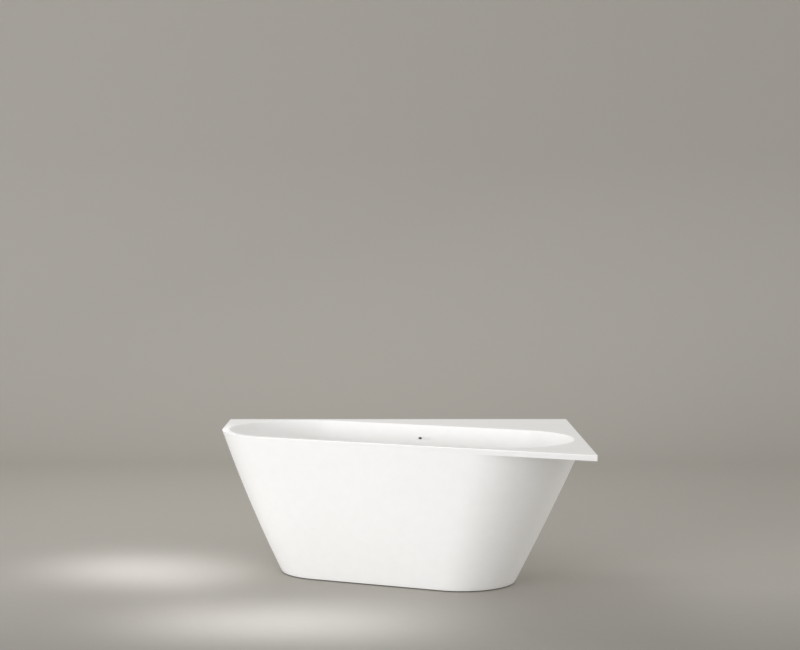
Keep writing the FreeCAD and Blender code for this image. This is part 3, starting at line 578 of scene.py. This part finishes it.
def apronTree(sizes, material):
    # Puts each point of a plain tube on the tapering outline at its own height
    tree = bpy.data.node_groups.new("apronTaper", "GeometryNodeTree")
    tree.interface.new_socket("Tube", in_out="INPUT", socket_type="NodeSocketGeometry")
    for name in sizes:
        tree.interface.new_socket(name, in_out="INPUT", socket_type="NodeSocketFloat")
    tree.interface.new_socket("Skin", in_out="OUTPUT", socket_type="NodeSocketGeometry")
    given = addNode(tree, "NodeGroupInput").outputs
    place = addNode(tree, "GeometryNodeInputPosition").outputs["Position"]
    plain = addNode(tree, "ShaderNodeSeparateXYZ", {"Vector": place}).outputs
    share, grow = stored(tree, "share"), stored(tree, "grow")
    height, gap = plain["Z"], given["Floor gap"]
    ahead = swellNodes(tree, height, given["Edge band"], gap, given["Front bow"])
    under = swellNodes(tree, height, given["Deck underside"], gap, given["Foot bow"])
    reach = calc(tree, "ADD", given["End radius"], grow)
    outward = calc(tree, "MULTIPLY", reach, -1.0)
    left = calc(tree, "MULTIPLY_ADD", given["Head inset"], ahead, outward)
    front = calc(tree, "MULTIPLY_ADD", given["Front inset"], ahead, outward)
    right = calc(tree, "ADD", given["End spacing"], reach)
    right = calc(tree, "SUBTRACT", right, calc(tree, "MULTIPLY", given["Foot inset"], under))
    back = calc(tree, "SUBTRACT", reach, calc(tree, "MULTIPLY", given["Back inset"], under))
    radius = calc(tree, "MULTIPLY", calc(tree, "SUBTRACT", back, front), 0.5)
    middle = calc(tree, "MULTIPLY", calc(tree, "ADD", back, front), 0.5)
    leftEnd = calc(tree, "ADD", left, radius)
    length = calc(tree, "SUBTRACT", calc(tree, "SUBTRACT", right, radius), leftEnd)
    centre = calc(tree, "MULTIPLY_ADD", length, share, leftEnd)
    along = calc(tree, "MULTIPLY_ADD", radius, calc(tree, "SUBTRACT", plain["X"], share), centre)
    across = calc(tree, "MULTIPLY_ADD", radius, plain["Y"], middle)
    spot = joined(tree, X=along, Y=across, Z=height)
    moved = addNode(tree, "GeometryNodeSetPosition", {"Geometry": given["Tube"], "Position": spot})
    toPart = {
        "Geometry": moved.outputs["Geometry"], "Scale": (mm, mm, mm),
        "Rotation": joined(tree, Z=given["Bath turn"]),
        "Translation": joined(tree, X=given["Bath x"], Y=given["Bath y"]),
    }
    laid = addNode(tree, "GeometryNodeTransform", toPart).outputs["Geometry"]
    real = addNode(tree, "GeometryNodeRealizeInstances", {"Geometry": laid}).outputs["Geometry"]
    coated = addNode(tree, "GeometryNodeSetMaterial", {"Geometry": real, "Material": material})
    addNode(tree, "NodeGroupOutput", {"Skin": coated.outputs["Geometry"]})
    return tree


def plainTube(levels, endSteps=56, sideSteps=36):
    # A closed tube whose points carry their share of the way to the right end and how far they grow out
    quarter = math.pi / 2
    ring = [(p.x, p.y, 0.0) for p in arcPoints((0, 0), 1, quarter, 3 * quarter, endSteps)]
    ring += [(0.0, -1.0, i / sideSteps) for i in range(1, sideSteps)]
    ring += [(p.x, p.y, 1.0) for p in arcPoints((0, 0), 1, -quarter, quarter, endSteps)]
    ring += [(0.0, 1.0, 1 - i / sideSteps) for i in range(1, sideSteps)]
    mesh = bmesh.new()
    shareLayer = mesh.verts.layers.float.new("share")
    growLayer = mesh.verts.layers.float.new("grow")
    loops = []
    for z, grow in levels:
        loops.append([mesh.verts.new((x + share, y, z)) for x, y, share in ring])
        for vert, (_, _, share) in zip(loops[-1], ring):
            vert[shareLayer], vert[growLayer] = share, grow
    for first, second in zip(loops, loops[1:] + loops[:1]):
        joinLoops(mesh, second, first)
    data = bpy.data.meshes.new("apron_casting")
    mesh.to_mesh(data)
    mesh.free()
    tube = bpy.data.objects.new("apron_casting", data)
    bpy.context.scene.collection.objects.link(tube)
    return tube


def makeApron():
    lowest = apron["gap"] + apron["bottomRound"]
    count = apron["levels"]
    heights = [deckBottom + (lowest - deckBottom) * i / count for i in range(count + 1)]
    levels = [(z, 0.0) for z in heights]
    for i in range(1, apron["roundSteps"] + 1):
        turn = math.pi / 2 * i / apron["roundSteps"]
        z = apron["gap"] + apron["bottomRound"] * (1 - math.sin(turn))
        levels.append((z, -apron["bottomRound"] * (1 - math.cos(turn))))
    levels += [(z, -apron["wall"]) for z in reversed(heights[:-1] + [apron["gap"]])]
    skin = plainTube(levels)
    sizes = {
        "Edge band": deck["height"] - deck["edgeBand"],
        "Deck underside": deckBottom, "Floor gap": apron["gap"],
        "Front bow": apron["frontBow"], "Foot bow": apron["footBow"],
        "Head inset": apron["headInset"], "Foot inset": apron["footInset"],
        "Front inset": apron["frontInset"], "Back inset": apron["backInset"],
        "End radius": deck["endRadius"], "End spacing": deck["endSpacing"],
        "Bath turn": bathTurn, "Bath x": leftCentre.x * mm, "Bath y": leftCentre.y * mm,
    }
    taper = skin.modifiers.new("taper", "NODES")
    taper.node_group = apronTree(sizes, finishes["white_composite"])
    for socket in taper.node_group.interface.items_tree:
        if socket.in_out == "INPUT" and socket.name in sizes:
            taper[socket.identifier] = float(sizes[socket.name])
    applyModifiers(skin)
    start = drain["along"] - apron["serviceBeforeDrain"]
    low = (start, deck["endRadius"] / 2, apron["gap"] - apron["cutMargin"])
    back = deck["endRadius"] + apron["cutReach"]
    high = (start + apron["serviceLength"], back, deckBottom + apron["cutMargin"])
    cutWith(skin, blockTool(low, high))
    skin.data.shade_smooth()
    skin.data.set_sharp_from_angle(angle=creaseAngle)
    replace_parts(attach(skin, "bath"), "apron")


makeApron()
print("apron made")

# ---- floor, light and camera ----
# The sweep's colour ramp from the near colour to the far colour is painted shade for the light falling
# off towards the camera
studio = {
    "paintedShadeNearColour": "#918D86", "farColour": "#ABA79F", "paintedShadeFullBefore": -1.3, "paintedShadeEndsAfter": -0.1,
    "worldColour": "#FFFFFF", "worldStrength": 0.79,
    "front": -16.0, "back": 3.5, "side": 14.0, "bend": 2.0, "bendSteps": 24, "top": 6.0,
}


def makeStudioFloor():
    mesh = bmesh.new()
    profile = [(studio["front"], 0.0), (studio["back"], 0.0)]
    for i in range(1, studio["bendSteps"] + 1):
        turn = math.pi / 2 * i / studio["bendSteps"]
        y = studio["back"] + studio["bend"] * math.sin(turn)
        profile.append((y, studio["bend"] * (1 - math.cos(turn))))
    profile.append((studio["back"] + studio["bend"], studio["top"]))
    rows = [[mesh.verts.new((x, y, z)) for x in (-studio["side"], studio["side"])] for y, z in profile]
    for near, far in zip(rows, rows[1:]):
        mesh.faces.new((near[0], near[1], far[1], far[0]))
    # Matt sweep with painted shade: its colour darkens towards the camera, standing in for the light
    # falling off there
    material, tree, shader = newMaterial("mattSweepWithPaintedShade")
    place = addNode(tree, "ShaderNodeTexCoord").outputs["Object"]
    depth = addNode(tree, "ShaderNodeSeparateXYZ", {"Vector": place}).outputs["Y"]
    ends = {"From Min": studio["paintedShadeFullBefore"], "From Max": studio["paintedShadeEndsAfter"]}
    share = addNode(tree, "ShaderNodeMapRange", {"Value": depth, **ends}).outputs["Result"]
    colourBetween(tree, shader, share, studio["paintedShadeNearColour"], studio["farColour"], 0.0, 1.0)
    roughnessBetween(tree, shader, objectNoise(tree, 50, 2), 0.6, 0.7)
    floor = finishMesh(mesh, "studio_floor", material)


# A low broad key from the front left, two weak pools on the floor, a fill for the right end, one behind
lamps = {
    "keyLamp": {
        "place": (-7.0, -7.4, 1.1), "aim": (0, 0, 0.3), "size": (4.0, 2.2),
        "watts": 530, "colour": "#F9FBFF", "spread": 180,
    },
    "floorLamp": {
        "place": (-0.42, -0.8, 1.1), "aim": (-0.42, -0.68, 0), "size": (0.9, 0.3),
        "watts": 1.7, "colour": "#F6F8FF", "spread": 52,
    },
    "glowLamp": {
        "place": (-1.15, 0.12, 1.0), "aim": (-1.08, 0.28, 0), "size": (0.7, 0.4),
        "watts": 1.15, "colour": "#F6F8FF", "spread": 52,
    },
    "sideLamp": {
        "place": (5.5, 0.8, 0.5), "aim": (0.45, -0.1, 0.35), "size": (1.0, 0.6),
        "watts": 2.0, "colour": "#FFFFFF", "spread": 35,
    },
    "backLamp": {
        "place": (-1.2, 2.6, 3.5), "aim": (0, 0, 0.5), "size": (2.0, 1.4),
        "watts": 34, "colour": "#FFFFFF", "spread": 180,
    },
}


def addLamp(name, lamp):
    data = bpy.data.lights.new(name, "AREA")
    data.shape = "RECTANGLE"
    data.size, data.size_y = lamp["size"]
    data.energy = lamp["watts"]
    data.spread = math.radians(lamp["spread"])
    data.color = linear(lamp["colour"])[:3]
    holder = bpy.data.objects.new(name, data)
    bpy.context.scene.collection.objects.link(holder)
    holder.location = lamp["place"]
    towards = Vector(lamp["aim"]) - Vector(lamp["place"])
    holder.rotation_euler = towards.to_track_quat("-Z", "Y").to_euler()


makeStudioFloor()
for name, lamp in lamps.items():
    addLamp(name, lamp)
world = bpy.data.worlds.new("studioLight")
bpy.context.scene.world = world
world.use_nodes = True
world.node_tree.nodes["Background"].inputs["Color"].default_value = linear(studio["worldColour"])
world.node_tree.nodes["Background"].inputs["Strength"].default_value = studio["worldStrength"]

# Fitted to the front view in the photograph
camera = {
    "place": (-0.0103, -6.953, 1.4874), "pitchDown": 3.423, "yaw": -0.132, "lens": 76.43, "sensor": 36.0,
}
cameraData = bpy.data.cameras.new("photoCamera")
cameraData.lens = camera["lens"]
cameraData.sensor_width = camera["sensor"]
photoCamera = bpy.data.objects.new("photoCamera", cameraData)
bpy.context.scene.collection.objects.link(photoCamera)
photoCamera.location = camera["place"]
pitch, yaw = math.radians(90 - camera["pitchDown"]), math.radians(camera["yaw"])
photoCamera.rotation_euler = Euler((pitch, 0, yaw))
bpy.context.scene.camera = photoCamera
bpy.context.scene.view_settings.view_transform = "Standard"
print("light and camera set")
